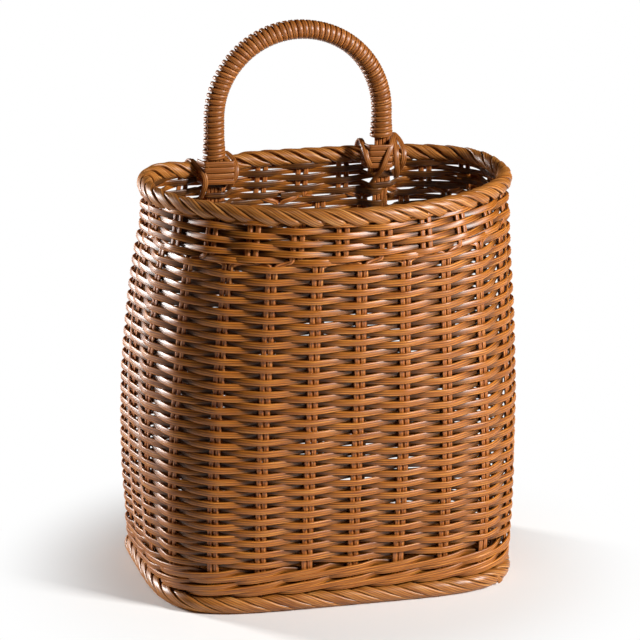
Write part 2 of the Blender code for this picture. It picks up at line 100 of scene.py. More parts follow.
# Rows of the side weave: their heights hold at the front's middle, eleven stakes from the start.
# Half way between two stakes a row is tilted most, in radians
SIDE_PIECES = 6
ROW_COUNT = 52
ROW_LOW = 33.8 * MM
ROW_HIGH = 235.2 * MM
ROW_SAG_SHARE = 0.05
ROW_HALF_SIZES = (2.25 * MM, 0.95 * MM)
ROW_REACH = 2.6 * MM
ROW_TILT = 0.22
FRONT_STAKE = 11
STEPS_PER_STAKE = 12

# How unevenly the strips are woven
ROW_WANDER = 0.14 * MM
COLLAR_WANDER = 0.4 * MM
OUTWARD_WANDER = 0.08 * MM
WIDTH_WANDER = 0.05 * MM

# Where on its wave, from -1 inside to 1 outside, a strip begins to stand out, and over what span
CREST_FROM = -0.75
CREST_SPAN = 1.35

# The climb of the upper rows, from the middle of the front to the right end and down again
RIGHT_RISE = 5 * MM
RISE_START = 0.5
RISE_GROWS = 0.22
RISE_FADES = 0.2
RISE_LOW = 120 * MM
RISE_SPAN = 100 * MM

# Rows of the collar, and one strip's loose end inside the right corner
COLLAR_PASSES = 151
COLLAR_LOW = 234.65 * MM
COLLAR_PITCH = 3.65 * MM
COLLAR_HALF_SIZES = (2.15 * MM, 1.1 * MM)
COLLAR_REACH = 2.9 * MM
COLLAR_SHARPNESS = 0.9
INNER_END = [(0.1035, 0.053, 0.2495), (0.109, 0.0525, 0.2485), (0.116, 0.049, 0.2470),
             (0.121, 0.041, 0.2455)]
INNER_END_FACE = (-0.75, -0.6, 0.1)
INNER_END_STEPS = 16
INNER_END_HALF_SIZES = (2.2 * MM, 1.0 * MM)

# Waling at the foot, with its swing out and in, and its climb, over each three stakes
WALE_LOW = 16.7 * MM
WALE_PITCH = 8.7 * MM
WALE_LIFT = 3.5 * MM
WALE_REACH = 2.5 * MM
WALE_HALF_SIZES = (2.15 * MM, 1.0 * MM)
WALE_SWING = ([0, 0.45, 1.55, 2, 2.5, 3], [0, 1, 1, 0, -1, 0])
WALE_CLIMB = ([0, 2, 3], [-1, 1, -1])

# Borders: half sizes of the ring's section across and up, half widths of the outer and inner
# strands, how deep the inner ones are sunk, and the course of a strand: the angle round the
# section in degrees, the run along the ring and how deep the strand lies, both in mm
RIM_SECTION = (3.9 * MM, 5.0 * MM)
FOOT_SECTION = (4.2 * MM, 4.7 * MM)
RIM_HALF_WIDTHS = (3.0 * MM, 2.8 * MM)
FOOT_HALF_WIDTHS = (2.9 * MM, 2.8 * MM)
RIM_SUNK = 2.4 * MM
FOOT_SUNK = 2.2 * MM
RIM_COURSE = [(262, -6, 1.6), (230, 0, 1.2), (185, 6, 0.8), (135, 12, 0.8), (95, 17, 0.5),
              (62, 23, 0.0), (25, 29, -0.3), (-15, 36, -0.4), (-45, 41, 0.2), (-85, 44, 2.6)]
FOOT_COURSE = [(125, 0, 2.4), (90, 4, 1.0), (50, 10, 0.1), (10, 18, -0.1), (-30, 26, 0.0),
               (-65, 34, 0.0), (-100, 42, 0.2), (-150, 50, 1.0), (-190, 56, 2.0)]
STRAND_STEPS = 30
STRAND_HALF_THICKNESS = 1.4 * MM
STRAND_TAPER = ([0, 0.06, 0.86, 1], [0.6, 1, 1, 0.45])
FOOT_END = np.array([(93, -56, 10), (97, -59.5, 9.5), (101, -60.5, 6.5), (104, -60, 2.5)]) * MM
FOOT_END_FACE = (0.25, -0.97, 0)
FOOT_END_STEPS = 14
FOOT_END_HALF_SIZES = (1.9 * MM, 0.9 * MM)

# Handle
CORE_LOW, CORE_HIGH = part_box("handle_core")
HANDLE_X = (CORE_LOW.x + CORE_HIGH.x) / 2
LEG_Y = (CORE_LOW.y + CORE_HIGH.y) / 2
LEG_FOOT = CORE_LOW.z
CORE_RADIUS = (CORE_HIGH.y - CORE_LOW.y) / 2
HANDLE_HALF_SPAN = (CORE_HIGH.x - CORE_LOW.x) / 2 - CORE_RADIUS
SPRING_LINE = CORE_HIGH.z - CORE_RADIUS - HANDLE_HALF_SPAN
LEFT_LEG = HANDLE_X - HANDLE_HALF_SPAN
RIGHT_LEG = HANDLE_X + HANDLE_HALF_SPAN
CORE_STRANDS = 4
CORE_STRAND_PITCH = 2.6 * MM
CORE_STEPS = 120
CORE_HALF_SIZES = (1.35 * MM, 1.6 * MM)
LEG_SETBACK = 3.5 * MM
LEG_BEND = 12 * MM

# Handle wrap: a strip wound round the arch, which stands out in a narrow ridge on its left
WRAP_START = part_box("handle_wrap")[0].z + 0.5 * MM
WRAP_TURNS = 61
WRAP_TURN_POINTS = 30
RIGHT_WRAP_LIFT = 7 * MM
WRAP_RADIUS = 5.5 * MM
WRAP_HALF_WIDTH = 2.05 * MM
WRAP_HALF_THICKNESS = 0.95 * MM
WRAP_FLARE = 0.9 * MM
WRAP_FLARE_SHARE = 0.06
WRAP_RIDGE_WAY = (-1.0, 0.15, 0.45)
WRAP_RIDGE_FROM = 0.2
WRAP_RIDGE_SPAN = 0.7
WRAP_RIDGE_RISE = 1.1 * MM
WRAP_RIDGE_NARROWS = 0.7 * MM

# Where the rows bend round a leg, and where the left leg's ties pull the rim down
LEG_FRONT_Y = LEG_Y + 1.5 * MM
LEG_BUMP_REACH = 13 * MM
LEG_BUMP_SLOPE = 7 * MM
LEG_BUMP_BELOW = 3 * MM
INNER_DEPTH = 0.6 * MM
RIM_DIP = 4 * MM
RIM_DIP_ASIDE = 6 * MM
RIM_DIP_REACH = 36 * MM

# Lashings: heights of the strips across each leg, and places on each tie over the rim, in mm
# from the leg and the rim's top
TIE_STEPS = 40
TIE_HALF_SIZES = (1.9 * MM, 0.9 * MM)
BAND_STEPS = 30
BAND_HALF_SIZES = (1.95 * MM, 0.95 * MM)
LEFT_BANDS = (-2.6, -6.6, -10.7, -14.5)
RIGHT_BANDS = (2.6, -1.3, -5.4, -9.6)
LEFT_TIES = (
    [(-15, 18.6, -14), (-14.8, 18, -7), (-13.8, 11.5, -3.2), (-12.2, 2.2, -4.4),
     (-9.3, -5.8, -8.3), (-8.1, -7.8, -13.9), (-8.7, -5.8, -19.8), (-9.4, 1, -26.8)],
    [(8, 18.6, -12), (8.4, 17.6, -3), (9.4, 10.2, 1), (12.1, 2.2, -1.4),
     (13.1, -4.8, -5.1), (12.7, -6.8, -10.6), (10.2, -5.8, -16.2), (8.9, 1, -22.4)])
RIGHT_TIES = (
    [(-12, 18.6, -9), (-12.1, 18.2, -2), (-12.4, 12.5, 3.6), (-12.8, 5, 5),
     (-13.2, -5, 1), (-12.2, -8.6, -5), (-9.5, -6, -11), (-8, 1, -17)],
    [(10, 12, 3), (9, 4, 7), (5, -6, 4.2), (1, -9, -4), (-1.8, -8.6, -11.5),
     (-4.6, -2, -19), (-6, 3, -24)],
    [(9.9, 13, 2.8), (9.6, 5, 4.6), (8.6, -4.5, -0.5), (8.4, -6.8, -8),
     (9.6, -4, -15), (10.8, 2, -21)],
    [(8.5, 18.6, -9), (8.8, 18.4, 0), (10.6, 11.5, 7), (13.4, 5.5, 4.2),
     (14.6, -2, -2), (14.2, -3, -9), (13, 3, -17)])

# Base
BASE_STICKS = 7
BASE_WEAVERS = 6
BASE_ROWS = 5
BASE_EDGE_ROWS = 2
BASE_ROW_STEPS = 110
BASE_ROW_HALF_SIZES = (1.95 * MM, 0.85 * MM)
BASE_ROW_REACH = 1.9 * MM
BASE_SHARPNESS = 0.9
BASE_WALL_GAP = 6 * MM
BASE_RING_STEPS = 500
BASE_STICK_STEPS = 12
BASE_STICK_HALF_SIZES = (1.85 * MM, 0.9 * MM)
BASE_PAIR_REACH = 2 * MM

# Ribs of the strips: how many, how deep for the strip's thickness, and how flat the section is
PAIR_RIBS = {"ribs": 2, "depth": 0.45}
WRAP_RIBS = {"ribs": 2, "depth": 0.3}
CORE_RIBS = {"ribs": 2, "depth": 0.4}
BORDER_RIBS = {"ribs": 4, "depth": 0.25, "flatness": 2.0}

# Streaks of the polyethylene strip, about 0.4 mm wide, its tone and its shine
STREAK_LENGTH = 30 * MM
STREAKS_IN_HALF_WIDTH = 5.0
STREAK_SHIFT = 7.31
PATCH_LENGTH = 45 * MM
PATCH_GAIN = 0.5
PATCH_VALUE = 0.75
# Painted shade in the valleys between the ribs and where a strip goes under, with a little painted
# light where it stands out
VALLEY_SHADE = -0.55
CREST_GAIN = 0.78
DEEP_VALUE = 0.27
ROUGHNESS = 0.4
ROUGHNESS_SPREAD = 0.16
BUMP_DEPTH = 0.12 * MM

# Floor and light from all round
FLOOR_RADIUS = 6.0
FADE_START = 0.12
FADE_END = 0.23
AMBIENT = 0.01

# Camera: turn to the side, height angle and roll in degrees, and the photograph's measures in
# pixels
CAMERA_ANGLES = (-14.85, 17.41, 0.45)
CAMERA_DISTANCE = 2.2
AIM_HEIGHT = 0.150
AIM_BEFORE_BACK = 0.060
PICTURE_SIZE = 640
FOCAL_PIXELS = 3338.96
CENTRE_ACROSS = 318.2
CENTRE_DOWN = 344.32

rng = np.random.default_rng(23)


def unit(vectors):
    """Vectors at length one."""
    return vectors / np.linalg.norm(vectors, axis=-1, keepdims=True)


def smooth_step(values):
    """A smooth climb from 0 to 1."""
    share = np.clip(values, 0, 1)
    return share * share * (3 - 2 * share)


def blend(height, values):
    """A plan size at a height: a parabola up to the weave's top, then straight to the rim."""
    foot, middle, top, rim = values
    if height > WEAVE_TOP:
        return top + (rim - top) * min((height - WEAVE_TOP) / (RIM_CENTRE - WEAVE_TOP), 1)
    share = height / WEAVE_TOP
    return (foot * (1 - share) * (1 - 2 * share) + 4 * middle * share * (1 - share)
            + top * share * (2 * share - 1))


def plan_loop(height):
    """Evenly spaced points of the wall's middle line at a height, and the line's length."""
    angle = math.tau * np.arange(PLAN_STEPS + 1) / PLAN_STEPS
    leftward, backward = np.sin(angle), np.cos(angle)
    back_reach = blend(height, BACK_REACHES)
    at_back = backward >= 0
    power = np.where(at_back, blend(height, BACK_POWERS), blend(height, BOW_POWERS))
    reach = np.where(at_back, back_reach, blend(height, FRONT_REACHES))
    x = -blend(height, HALF_WIDTHS) * np.sign(leftward) * np.abs(leftward) ** (2 / power)
    y = reach * np.sign(backward) * np.abs(backward) ** (2 / power) - back_reach + BACK_Y
    x += FOOT_X + RIM_LEAN * height / RIM_CENTRE
    x += COLLAR_LEAN * smooth_step((height - COLLAR_LEAN_LOW) / COLLAR_LEAN_SPAN)
    run = np.append(0, np.cumsum(np.hypot(np.diff(x), np.diff(y))))
    places = run[-1] * np.arange(COLUMNS) / COLUMNS
    return np.stack([np.interp(places, run, x), np.interp(places, run, y)], axis=1), run[-1]


LEVELS = [plan_loop(LEVEL_STEP * level) for level in range(LEVEL_COUNT)]
WALL_GRID = np.array([points for points, length in LEVELS])
WALL_GIRTHS = np.array([length for points, length in LEVELS])


def middle_line(share, height):
    """Points of the wall's middle line at shares of the way round and at heights."""
    column = (share % 1) * COLUMNS
    left = np.floor(column).astype(int)
    across = (column - left)[..., None]
    # Kept just below the top level, so that there is always a level above
    level = np.clip(height / LEVEL_STEP, 0, LEVEL_COUNT - 1.001)
    low = np.floor(level).astype(int)
    up = (level - low)[..., None]
    left, right = left % COLUMNS, (left + 1) % COLUMNS
    lower = WALL_GRID[low, left] * (1 - across) + WALL_GRID[low, right] * across
    upper = WALL_GRID[low + 1, left] * (1 - across) + WALL_GRID[low + 1, right] * across
    plan = lower * (1 - up) + upper * up
    return np.concatenate([plan, height[..., None]], axis=-1)


def girth(height):
    """The length of the wall's middle line at heights."""
    return np.interp(height, LEVEL_STEP * np.arange(LEVEL_COUNT), WALL_GIRTHS)


def wall(share, height, outward=0.0):
    """Points beside the wall's middle line, with the way out of the wall at each."""
    share, height, outward = np.broadcast_arrays(np.asarray(share, float), height, outward)
    onward = middle_line(share + TANGENT_SHARE, height) - middle_line(share - TANGENT_SHARE, height)
    upward = middle_line(share, height + LEVEL_STEP) - middle_line(share, height - LEVEL_STEP)
    face = unit(np.cross(onward, upward))
    return middle_line(share, height) + face * outward[..., None], face


def strip(points, face, half_width, half_thickness, closed=False, crest=1.0):
    """A strip along points: its half-size vectors across and out of its face at each point, and
    how far it stands out of the weave there, from 0 to 1."""
    if closed:
        before, after = np.roll(points, 1, axis=0), np.roll(points, -1, axis=0)
    else:
        before, after = np.vstack([points[:1], points[:-1]]), np.vstack([points[1:], points[-1:]])
    onward = unit(after - before)
    aside = unit(np.cross(face, onward))
    outward = np.cross(onward, aside)
    half_width, half_thickness = (np.broadcast_to(size, len(points))[:, None]
                                  for size in (half_width, half_thickness))
    run = np.append(0, np.cumsum(np.linalg.norm(np.diff(points, axis=0), axis=1)))
    return {"points": points, "aside": aside * half_width, "outward": outward * half_thickness,
            "along": run, "closed": closed, "crest": np.broadcast_to(crest, len(points))}


def round_curve(places, count):
    """Points of a smooth curve through a few places (a Catmull-Rom curve)."""
    places = np.asarray(places, float)
    whole = np.vstack([2 * places[0] - places[1], places, 2 * places[-1] - places[-2]])
    position = np.linspace(0, len(places) - 1, count)
    index = np.minimum(position.astype(int), len(places) - 2)
    part = (position - index)[:, None]
    first, second, third, fourth = (whole[index + shift] for shift in range(4))
    return 0.5 * (2 * second + (third - first) * part
                  + (2 * first - 5 * second + 4 * third - fourth) * part ** 2
                  + (3 * second - first - 3 * third + fourth) * part ** 3)


def add(tree, kind, inputs=(), **settings):
    """Add a node: its settings, then its inputs by name or in order, as values or as links."""
    node = tree.nodes.new(kind)
    for name, value in settings.items():
        setattr(node, name, value)
    for key, value in (inputs.items() if isinstance(inputs, dict) else enumerate(inputs)):
        if isinstance(value, bpy.types.Node):
            value = value.outputs[0]
        if isinstance(value, bpy.types.NodeSocket):
            tree.links.new(value, node.inputs[key])
        else:
            node.inputs[key].default_value = value
    return node


def strip_tree():
    """Geometry Nodes: a ribbed strip swept along each path of a mesh of edges."""
    tree = bpy.data.node_groups.new("ribbed_strip", 'GeometryNodeTree')
    sockets = tree.interface
    sockets.new_socket("Paths", in_out='INPUT', socket_type='NodeSocketGeometry')
    for name, kind in (("Rib count", 'NodeSocketInt'), ("Rib depth share", 'NodeSocketFloat'),
                       ("Flatness", 'NodeSocketFloat'), ("Finish", 'NodeSocketMaterial')):
        sockets.new_socket(name, in_out='INPUT', socket_type=kind)
    sockets.new_socket("Strips", in_out='OUTPUT', socket_type='NodeSocketGeometry')
    given = add(tree, "NodeGroupInput").outputs

    # The section is a ring of points: two edges, and on each side ridges with valleys between
    count = add(tree, MATH, (given["Rib count"], 4), operation='MULTIPLY')
    ring = add(tree, "GeometryNodeCurvePrimitiveCircle", {"Resolution": count})
    index = add(tree, "GeometryNodeInputIndex")
    turn = add(tree, MATH, (index, count), operation='DIVIDE')
    spread = add(tree, MATH, (turn, 2, -1), operation='MULTIPLY_ADD')
    folded = add(tree, MATH, (spread,), operation='ABSOLUTE')
    across = add(tree, MATH, (folded, 2, -1), operation='MULTIPLY_ADD')
    to_half_way = add(tree, MATH, (0.5, turn), operation='SUBTRACT')
    side = add(tree, MATH, (to_half_way,), operation='SIGN')
    reach = add(tree, MATH, (across,), operation='ABSOLUTE')
    edge = add(tree, MATH, (reach, given["Flatness"]), operation='POWER')
    left = add(tree, MATH, (1, edge), operation='SUBTRACT')
    left_over = add(tree, MATH, (left, 0), operation='MAXIMUM')
    dome = add(tree, MATH, (left_over,), operation='SQRT')
    odd = add(tree, MATH, (index, 2), operation='MODULO')
    valley = add(tree, MATH, (1, odd), operation='SUBTRACT')
    depth = add(tree, MATH, (valley, given["Rib depth share"]), operation='MULTIPLY')
    kept = add(tree, MATH, (1, depth), operation='SUBTRACT')
    height = add(tree, MATH, (dome, kept), operation='MULTIPLY')
    proud = add(tree, MATH, (side, height), operation='MULTIPLY')
    section = ring
    for name, value in (("across", across), ("proud", proud), ("valley", valley)):
        section = add(tree, "GeometryNodeStoreNamedAttribute",
                      {"Geometry": section, "Name": name, "Value": value},
                      data_type='FLOAT', domain='POINT')

    # The swept section's points are then put in place by the path's own half-size vectors
    middle = add(tree, "GeometryNodeStoreNamedAttribute",
                 {"Geometry": given["Paths"], "Name": "middle",
                  "Value": add(tree, "GeometryNodeInputPosition")},
                 data_type='FLOAT_VECTOR', domain='POINT')
    paths = add(tree, "GeometryNodeMeshToCurve", {"Mesh": middle})
    swept = add(tree, "GeometryNodeCurveToMesh",
                {"Curve": paths, "Profile Curve": section, "Fill Caps": True})
    read = {name: add(tree, "GeometryNodeInputNamedAttribute", {"Name": name}, data_type=kind)
            for name, kind in (("middle", 'FLOAT_VECTOR'), ("aside", 'FLOAT_VECTOR'),
                               ("outward", 'FLOAT_VECTOR'), ("across", 'FLOAT'),
                               ("proud", 'FLOAT'))}
    place = read["middle"]
    for way, size in (("aside", "across"), ("outward", "proud")):
        scaled = add(tree, "ShaderNodeVectorMath", {0: read[way], "Scale": read[size]},
                     operation='SCALE')
        place = add(tree, "ShaderNodeVectorMath", (place, scaled), operation='ADD')
    placed = add(tree, "GeometryNodeSetPosition", {"Geometry": swept, "Position": place})
    smooth = add(tree, "GeometryNodeSetShadeSmooth", {"Geometry": placed})
    whole = add(tree, "GeometryNodeRealizeInstances", {"Geometry": smooth})
    finished = add(tree, "GeometryNodeSetMaterial",
                   {"Geometry": whole, "Material": given["Finish"]})
    add(tree, "NodeGroupOutput", {"Strips": finished})
    return tree


STRIP_TREE = strip_tree()
STRIP_INPUTS = {item.name: item.identifier for item in STRIP_TREE.interface.items_tree
                if item.in_out == 'INPUT'}


def path_mesh(name, strips):
    """A mesh of edges that holds the strips' paths and half-size vectors."""
    edges, start = [], 0
    for piece in strips:
        count = len(piece["points"])
        ring = np.arange(count)
        pairs = np.stack([ring, ring + 1], axis=1)[:-1]
        if piece["closed"]:
            pairs = np.vstack([pairs, [[count - 1, 0]]])
        edges.append(pairs + start)
        start += count
    mesh = bpy.data.meshes.new(name)
    mesh.from_pydata(np.vstack([piece["points"] for piece in strips]).tolist(),
                     np.vstack(edges).tolist(), [])
    for key in ("aside", "outward"):
        values = np.vstack([piece[key] for piece in strips]).astype(np.float32)
        mesh.attributes.new(key, 'FLOAT_VECTOR', 'POINT').data.foreach_set("vector", values.ravel())
    numbers = [np.full(len(piece["points"]), number) for number, piece in enumerate(strips)]
    for key, rows in (("along", [piece["along"] for piece in strips]),
                      ("crest", [piece["crest"] for piece in strips]), ("strip", numbers)):
        values = np.concatenate(rows).astype(np.float32)
        mesh.attributes.new(key, 'FLOAT', 'POINT').data.foreach_set("value", values)
    return mesh


def make_strips(name, strips, finish, slot, nodes, ribs=3, depth=0.55, flatness=2.4):
    """One piece of ribbed strips, which stands for the named nodes."""
    source = bpy.data.objects.new(name + "_paths", path_mesh(name, strips))
    bpy.context.scene.collection.objects.link(source)
    sweep = source.modifiers.new("strips", 'NODES')
    sweep.node_group = STRIP_TREE
    for key, value in (("Rib count", ribs), ("Rib depth share", depth), ("Flatness", flatness),
                       ("Finish", finish)):
        sweep[STRIP_INPUTS[key]] = value
    bpy.context.view_layer.update()
    depsgraph = bpy.context.evaluated_depsgraph_get()
    mesh = bpy.data.meshes.new_from_object(source.evaluated_get(depsgraph))
    paths = source.data
    source.modifiers.remove(sweep)
    bpy.data.objects.remove(source)
    bpy.data.meshes.remove(paths)
    for key in ("middle", "aside", "outward", "proud"):
        if key in mesh.attributes:
            mesh.attributes.remove(mesh.attributes[key])
    shell = bmesh.new()
    shell.from_mesh(mesh)
    bmesh.ops.recalc_face_normals(shell, faces=shell.faces)
    shell.to_mesh(mesh)
    shell.free()
    mesh.name = name
    piece = bpy.data.objects.new(name, mesh)
    bpy.context.scene.collection.objects.link(piece)
    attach(piece, "root")
    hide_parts(*nodes)


def linear(hex_colour):
    """A linear colour from an sRGB hex value."""
    shares = [int(hex_colour[place:place + 2], 16) / 255 for place in (1, 3, 5)]
    return (*[share / 12.92 if share <= 0.04045 else ((share + 0.055) / 1.055) ** 2.4
              for share in shares], 1)


def polyethylene_strip(name, light, middle, dark):
    """Extruded polyethylene strip, often sold as synthetic rattan: a satin plastic, coloured
    through in streaks that run along the strip. Painted shade darkens it in the valleys between
    its ribs and where it goes under in the weave, and a little painted light brightens its crests."""
    material = bpy.data.materials.new(name)
    material.use_nodes = True
    tree = material.node_tree
    shader = tree.nodes["Principled BSDF"]
    shader.inputs["IOR"].default_value = 1.51
    across, along, number, valley, crest = (
        add(tree, "ShaderNodeAttribute", attribute_name=key,
            attribute_type='GEOMETRY').outputs["Fac"]
        for key in ("across", "along", "strip", "valley", "crest"))

    # Streaks, which differ from strip to strip
    lengthwise = add(tree, MATH, (along, 1 / STREAK_LENGTH), operation='MULTIPLY')
    shifted = add(tree, MATH, (number, STREAK_SHIFT, lengthwise), operation='MULTIPLY_ADD')
    crosswise = add(tree, MATH, (across, STREAKS_IN_HALF_WIDTH), operation='MULTIPLY')
    place = add(tree, "ShaderNodeCombineXYZ", (crosswise, shifted, number))
    streaks = add(tree, "ShaderNodeTexNoise",
                  {"Vector": place, "Scale": 1.0, "Detail": 3.0, "Roughness": 0.6})
    ramp = add(tree, "ShaderNodeValToRGB", (streaks,))
    ramp.color_ramp.elements[0].position = 0.30
    ramp.color_ramp.elements[0].color = linear(dark)
    ramp.color_ramp.elements[1].position = 0.72
    ramp.color_ramp.elements[1].color = linear(light)
    ramp.color_ramp.elements.new(0.5).color = linear(middle)

    # Slow changes of tone along the strip
    slowly = add(tree, MATH, (along, 1 / PATCH_LENGTH), operation='MULTIPLY')
    patches = add(tree, "ShaderNodeTexNoise",
                  {"Vector": add(tree, "ShaderNodeCombineXYZ", (slowly, number)),
                   "Scale": 1.0, "Detail": 1.0})
    value = add(tree, MATH, (patches, PATCH_GAIN, PATCH_VALUE), operation='MULTIPLY_ADD')
    # Painted shade in the valleys between the ribs
    shade = add(tree, MATH, (valley, VALLEY_SHADE, 1.0), operation='MULTIPLY_ADD')
    shaded = add(tree, MATH, (value, shade), operation='MULTIPLY')

    # Painted light and shade: a little lighter where the strip stands out of the weave, and painted
    # shade where it goes under
    painted_light_and_shade = add(tree, MATH, (crest, CREST_GAIN, DEEP_VALUE), operation='MULTIPLY_ADD')
    shaded = add(tree, MATH, (shaded, painted_light_and_shade), operation='MULTIPLY')
    tint = add(tree, "ShaderNodeHueSaturation", {"Color": ramp, "Value": shaded})
    tree.links.new(tint.outputs["Color"], shader.inputs["Base Color"])
    rough = add(tree, MATH, (streaks, ROUGHNESS_SPREAD, ROUGHNESS - ROUGHNESS_SPREAD / 2),
                operation='MULTIPLY_ADD')
    tree.links.new(rough.outputs[0], shader.inputs["Roughness"])
    bump = add(tree, "ShaderNodeBump",
               {"Strength": 0.35, "Distance": BUMP_DEPTH, "Height": streaks})
    tree.links.new(bump.outputs["Normal"], shader.inputs["Normal"])
    return material


BODY = polyethylene_strip("extruded_polyethylene_strip_caramel", "#E2963F", "#B16417", "#6C300A")
UPRIGHT = polyethylene_strip("extruded_polyethylene_strip_brown", "#E29A50", "#B4662A", "#6A2F10")
BORDER = polyethylene_strip("extruded_polyethylene_strip_honey", "#DD9E58", "#B16B27", "#753810")
WRAP = polyethylene_strip("extruded_polyethylene_strip_wound", "#CE8A48", "#A05B20", "#66300D")


def row_height(steps):
    """The height of the weave at a count of stakes passed since the spiral's start."""
    share = (steps - FRONT_STAKE) / STAKE_COUNT / (ROW_COUNT - 1)
    return ROW_LOW + (ROW_HIGH - ROW_LOW) * (share - ROW_SAG_SHARE * share * (1 - share))


def over_and_under(steps, sharpness=0.95):
    """Nearly straight from 1 outside each odd stake to -1 inside each even one, and rounder at
    the stakes the lower its sharpness is."""
    return np.arcsin(-sharpness * np.cos(math.pi * steps)) / math.asin(sharpness)


def crest_of(wave):
    """How far a strip stands out of the weave, from 0 to 1."""
    return smooth_step((wave - CREST_FROM) / CREST_SPAN)


def uneven(count, reach):
    """Random values for count points, which change evenly from one stake to the next."""
    knots = rng.normal(0, 1, count // STEPS_PER_STAKE + 3)
    places = np.arange(count) / STEPS_PER_STAKE
    return np.interp(places, np.arange(len(knots)), knots) * reach


def pass_legs(points, outward, half_thickness):
    """Move a row's points in front of the legs where it runs on the inner side of the wall."""
    for leg_x in (LEFT_LEG, RIGHT_LEG):
        near = smooth_step((LEG_BUMP_REACH - np.abs(points[:, 0] - leg_x)) / LEG_BUMP_SLOPE)
        near *= (points[:, 1] > BACK_Y / 2) & (points[:, 2] > LEG_FOOT - LEG_BUMP_BELOW)
        inside = smooth_step(-outward / INNER_DEPTH)
        room = points[:, 1] - (LEG_FRONT_Y - half_thickness)
        points[:, 1] -= near * inside * np.maximum(room, 0)
    return points


def row_rise(share, height):
    """How far the upper rows climb towards the right end of the basket."""
    turn = share % 1
    growing = smooth_step((turn - RISE_START) / RISE_GROWS)
    fading = smooth_step((1 - turn) / RISE_FADES)
    return RIGHT_RISE * (growing * fading) * smooth_step((height - RISE_LOW) / RISE_SPAN)


def weave_strip(share, height, wave, reach, wander, half_sizes):
    """A strip that passes outside one stake and inside the next."""
    count = len(share)
    half_width, half_thickness = half_sizes
    outward = reach * wave + uneven(count, OUTWARD_WANDER)
    height = height + row_rise(share, height)
    points, face = wall(share, height + uneven(count, wander), outward)
    points = pass_legs(points, outward, half_thickness)
    angle = (ROW_TILT * (1 - wave ** 2))[:, None]
    face = unit(face * np.cos(angle) + UPWARD * np.sin(angle))
    return strip(points, face, half_width + uneven(count, WIDTH_WANDER), half_thickness,
                 crest=crest_of(wave))


def make_side_weave():
    """The side weave: one strip that climbs the wall, in six pieces spliced behind stakes."""
    total = ROW_COUNT * STAKE_COUNT - 1
    ends = [2 * round(total * piece / (2 * SIDE_PIECES)) for piece in range(SIDE_PIECES + 1)]
    for piece in range(SIDE_PIECES):
        count = (ends[piece + 1] - ends[piece]) * STEPS_PER_STAKE + 1
        steps = np.linspace(ends[piece], ends[piece + 1], count)
        woven = weave_strip((steps + 0.5) / STAKE_COUNT, row_height(steps), over_and_under(steps),
                            ROW_REACH, ROW_WANDER, ROW_HALF_SIZES)
        make_strips(f"side_weave_{piece + 1}", [woven], BODY, "weaver_strip",
                    [f"side_weaver_{piece + 1}"])


def make_collar():
    """The thicker rows under the rim, and one strip's loose end inside the right corner."""
    steps = np.linspace(0, COLLAR_PASSES, COLLAR_PASSES * STEPS_PER_STAKE + 1)
    height = COLLAR_LOW + COLLAR_PITCH * steps / STAKE_COUNT
    woven = weave_strip((steps + 1) / STAKE_COUNT, height,
                        over_and_under(steps + 1, COLLAR_SHARPNESS), COLLAR_REACH, COLLAR_WANDER,
                        COLLAR_HALF_SIZES)
    face = np.tile(unit(np.array(INNER_END_FACE)), (INNER_END_STEPS, 1))
    end = strip(round_curve(INNER_END, INNER_END_STEPS), face, *INNER_END_HALF_SIZES)
    make_strips("collar_weave", [woven, end], BODY, "collar_strip", ["collar_weaver"])


def make_stakes():
    """Each stake is a pair of strips, which part at the collar to join their neighbours there."""
    counts = {"back": 0, "left": 0, "front": 0, "right": 0}
    for number in range(STAKE_COUNT):
        middle = (number + 0.5) / STAKE_COUNT
        side = list(counts)[math.floor(middle * 4 + 0.5) % 4]
        counts[side] += 1
        parting_height = PARTING_HEIGHT + row_rise(middle, PARTING_HEIGHT)
        parting = smooth_step((STAKE_HEIGHTS - parting_height) / PARTING_SPAN)
        sunk = PARTING_SINK * np.sin(math.pi * parting)
        reach = PAIR_REACH / girth(STAKE_HEIGHTS)
        joined = 0.5 / STAKE_COUNT - COLLAR_PAIR_REACH / girth(STAKE_HEIGHTS)
        pair = []
        for way in (-1, 1):
            share = middle + way * (reach + (joined - reach) * parting)
            points, face = wall(share, STAKE_HEIGHTS, -sunk)
            pair.append(strip(points, face, *STAKE_HALF_SIZES))
        node = f"{side}_stake_{counts[side]}"
        make_strips(node + "_pair", pair, UPRIGHT, "stake_strip", [node], **PAIR_RIBS)


def make_waling():
    """Two rounds of waling: each strand passes outside two stakes, rising, then inside one."""
    rounds = []
    steps = np.arange(3 * STAKE_COUNT * STEPS_PER_STAKE) / STEPS_PER_STAKE
    for level in range(2):
        phase = (steps + level) % 3
        swing = np.interp(phase, *WALE_SWING)
        outward = WALE_REACH * np.sin(math.pi / 2 * swing)
        height = WALE_LOW + WALE_PITCH * level + WALE_LIFT * np.interp(phase, *WALE_CLIMB)
        points, face = wall(steps / STAKE_COUNT, height, outward)
        rounds.append(strip(points, face, *WALE_HALF_SIZES, closed=True, crest=crest_of(swing)))
    make_strips("foot_wale", rounds, BODY, "weaver_strip",
                ["foot_waling_outer", "foot_waling_inner"])


def rim_dip(share):
    """How far the ties pull the rim border down beside the left leg."""
    place = middle_line(share, np.full(len(share), RIM_CENTRE))
    near = smooth_step(1 - np.abs(place[:, 0] - LEFT_LEG + RIM_DIP_ASIDE) / RIM_DIP_REACH)
    return RIM_DIP * near * (place[:, 1] > BACK_Y / 2)


